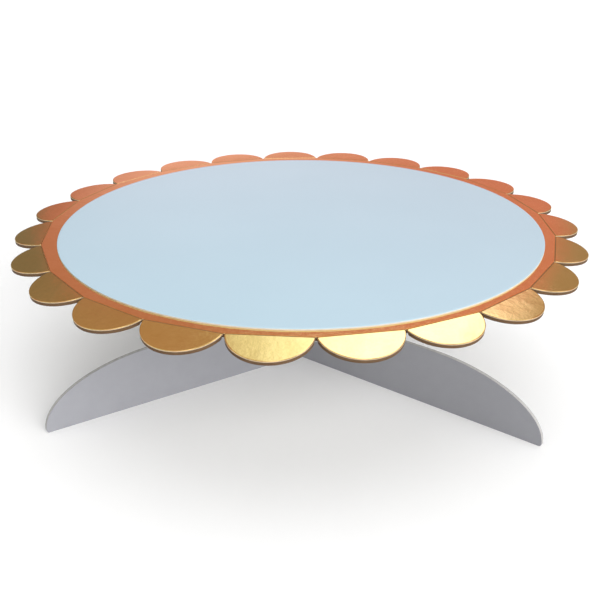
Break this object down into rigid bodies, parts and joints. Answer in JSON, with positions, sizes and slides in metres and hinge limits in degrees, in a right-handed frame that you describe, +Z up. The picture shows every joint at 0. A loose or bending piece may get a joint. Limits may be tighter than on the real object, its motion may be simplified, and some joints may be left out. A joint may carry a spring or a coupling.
{
  "type": "card cake stand",
  "caption": "Round card cake stand: a blue disc on a scalloped gold board with folded petals, on a slotted cross base of footed leg panels.",
  "frame": {"origin": "on the table, under the crossing of the two leg panels", "axes": "+Z up through the middle of the plate; -Y is the front, midway between the two front feet; +X to the right"},
  "size_m": [0.2927, 0.2927, 0.0807],
  "materials": {
    "blue_card": "matt light blue card",
    "gold_paper": "copper-gold metallic foil paper, satin to glossy",
    "petal_board": "greyboard faced with copper-gold foil paper, white paper under",
    "greyboard": "raw greyboard core, brown at the cut edge",
    "white_paper": "matt white lining paper",
    "pad_board": "raw grey board",
    "leg_board": "raw grey board at the cut edges",
    "grey_paper": "smooth matt cool grey paper"
  },
  "bodies": {
    "leg_a": {"leg_a_core": "leg_board", "leg_a_front_paper": "grey_paper", "leg_a_back_paper": "grey_paper"},
    "leg_b": {"leg_b_core": "leg_board", "leg_b_front_paper": "grey_paper", "leg_b_back_paper": "grey_paper"},
    "plate": {"socket_pad": "pad_board", "bottom_liner": "white_paper", "plate_core": "greyboard", "gold_facing": "gold_paper", "blue_top_disc": "blue_card"},
    "petal_01": {"petal_01": "petal_board"},
    "petal_02": {"petal_02": "petal_board"},
    "petal_03": {"petal_03": "petal_board"},
    "petal_04": {"petal_04": "petal_board"},
    "petal_05": {"petal_05": "petal_board"},
    "petal_06": {"petal_06": "petal_board"},
    "petal_07": {"petal_07": "petal_board"},
    "petal_08": {"petal_08": "petal_board"},
    "petal_09": {"petal_09": "petal_board"},
    "petal_10": {"petal_10": "petal_board"},
    "petal_11": {"petal_11": "petal_board"},
    "petal_12": {"petal_12": "petal_board"},
    "petal_13": {"petal_13": "petal_board"},
    "petal_14": {"petal_14": "petal_board"},
    "petal_15": {"petal_15": "petal_board"},
    "petal_16": {"petal_16": "petal_board"},
    "petal_17": {"petal_17": "petal_board"},
    "petal_18": {"petal_18": "petal_board"},
    "petal_19": {"petal_19": "petal_board"},
    "petal_20": {"petal_20": "petal_board"},
    "petal_21": {"petal_21": "petal_board"},
    "petal_22": {"petal_22": "petal_board"},
    "petal_23": {"petal_23": "petal_board"}
  },
  "joints": [
    {"name": "leg_b_lift", "type": "slide", "parent": "leg_a", "child": "leg_b", "axis": [0, 0, 1], "range_m": [0, 0.085]},
    {"name": "plate_lift", "type": "slide", "parent": "leg_b", "child": "plate", "axis": [0, 0, 1], "range_m": [0, 0.03]},
    {"name": "petal_01_fold", "type": "hinge", "parent": "plate", "child": "petal_01", "pos_m": [-0.00513, -0.1307, 0.08], "axis": [0.9992, -0.0393, 0], "range_deg": [-14, 36]},
    {"name": "petal_02_fold", "type": "hinge", "parent": "plate", "child": "petal_02", "pos_m": [0.03032, -0.12724, 0.08], "axis": [0.9728, 0.2318, 0], "range_deg": [-13.85, 36.15]},
    {"name": "petal_03_fold", "type": "hinge", "parent": "plate", "child": "petal_03", "pos_m": [0.06352, -0.11434, 0.08], "axis": [0.8742, 0.4856, 0], "range_deg": [-13.31, 36.69]},
    {"name": "petal_04_fold", "type": "hinge", "parent": "plate", "child": "petal_04", "pos_m": [0.09201, -0.09296, 0.08], "axis": [0.7107, 0.7035, 0], "range_deg": [-12.41, 37.59]},
    {"name": "petal_05_fold", "type": "hinge", "parent": "plate", "child": "petal_05", "pos_m": [0.11368, -0.06469, 0.08], "axis": [0.4946, 0.8691, 0], "range_deg": [-11.22, 38.78]},
    {"name": "petal_06_fold", "type": "hinge", "parent": "plate", "child": "petal_06", "pos_m": [0.12692, -0.03162, 0.08], "axis": [0.2417, 0.9703, 0], "range_deg": [-9.83, 40.17]},
    {"name": "petal_07_fold", "type": "hinge", "parent": "plate", "child": "petal_07", "pos_m": [0.13075, 0.0038, 0.08], "axis": [-0.029, 0.9996, 0], "range_deg": [-8.34, 41.66]},
    {"name": "petal_08_fold", "type": "hinge", "parent": "plate", "child": "petal_08", "pos_m": [0.12487, 0.03893, 0.08], "axis": [-0.2976, 0.9547, 0], "range_deg": [-6.86, 43.14]},
    {"name": "petal_09_fold", "type": "hinge", "parent": "plate", "child": "petal_09", "pos_m": [0.10974, 0.07118, 0.08], "axis": [-0.5442, 0.839, 0], "range_deg": [-5.51, 44.49]},
    {"name": "petal_10_fold", "type": "hinge", "parent": "plate", "child": "petal_10", "pos_m": [0.08647, 0.09814, 0.08], "axis": [-0.7503, 0.6611, 0], "range_deg": [-4.37, 45.63]},
    {"name": "petal_11_fold", "type": "hinge", "parent": "plate", "child": "petal_11", "pos_m": [0.05678, 0.11783, 0.08], "axis": [-0.9009, 0.4341, 0], "range_deg": [-3.54, 46.45]},
    {"name": "petal_12_fold", "type": "hinge", "parent": "plate", "child": "petal_12", "pos_m": [0.02288, 0.12878, 0.08], "axis": [-0.9846, 0.175, 0], "range_deg": [-3.08, 46.91]},
    {"name": "petal_13_fold", "type": "hinge", "parent": "plate", "child": "petal_13", "pos_m": [-0.01271, 0.13018, 0.08], "axis": [-0.9953, -0.0972, 0], "range_deg": [-3.03, 46.97]},
    {"name": "petal_14_fold", "type": "hinge", "parent": "plate", "child": "petal_14", "pos_m": [-0.04736, 0.12193, 0.08], "axis": [-0.9321, -0.3621, 0], "range_deg": [-3.37, 46.63]},
    {"name": "petal_15_fold", "type": "hinge", "parent": "plate", "child": "petal_15", "pos_m": [-0.0785, 0.10463, 0.08], "axis": [-0.7999, -0.6001, 0], "range_deg": [-4.1, 45.9]},
    {"name": "petal_16_fold", "type": "hinge", "parent": "plate", "child": "petal_16", "pos_m": [-0.10382, 0.07957, 0.08], "axis": [-0.6083, -0.7937, 0], "range_deg": [-5.15, 44.85]},
    {"name": "petal_17_fold", "type": "hinge", "parent": "plate", "child": "petal_17", "pos_m": [-0.12143, 0.04861, 0.08], "axis": [-0.3716, -0.9284, 0], "range_deg": [-6.46, 43.54]},
    {"name": "petal_18_fold", "type": "hinge", "parent": "plate", "child": "petal_18", "pos_m": [-0.13004, 0.01404, 0.08], "axis": [-0.1074, -0.9942, 0], "range_deg": [-7.91, 42.09]},
    {"name": "petal_19_fold", "type": "hinge", "parent": "plate", "child": "petal_19", "pos_m": [-0.12901, -0.02156, 0.08], "axis": [0.1649, -0.9863, 0], "range_deg": [-9.41, 40.59]},
    {"name": "petal_20_fold", "type": "hinge", "parent": "plate", "child": "petal_20", "pos_m": [-0.11841, -0.05557, 0.08], "axis": [0.4249, -0.9053, 0], "range_deg": [-10.84, 39.16]},
    {"name": "petal_21_fold", "type": "hinge", "parent": "plate", "child": "petal_21", "pos_m": [-0.09903, -0.08546, 0.08], "axis": [0.6533, -0.7571, 0], "range_deg": [-12.09, 37.91]},
    {"name": "petal_22_fold", "type": "hinge", "parent": "plate", "child": "petal_22", "pos_m": [-0.0723, -0.109, 0.08], "axis": [0.8334, -0.5527, 0], "range_deg": [-13.08, 36.92]},
    {"name": "petal_23_fold", "type": "hinge", "parent": "plate", "child": "petal_23", "pos_m": [-0.04021, -0.12447, 0.08], "axis": [0.9516, -0.3074, 0], "range_deg": [-13.73, 36.27]}
  ]
}
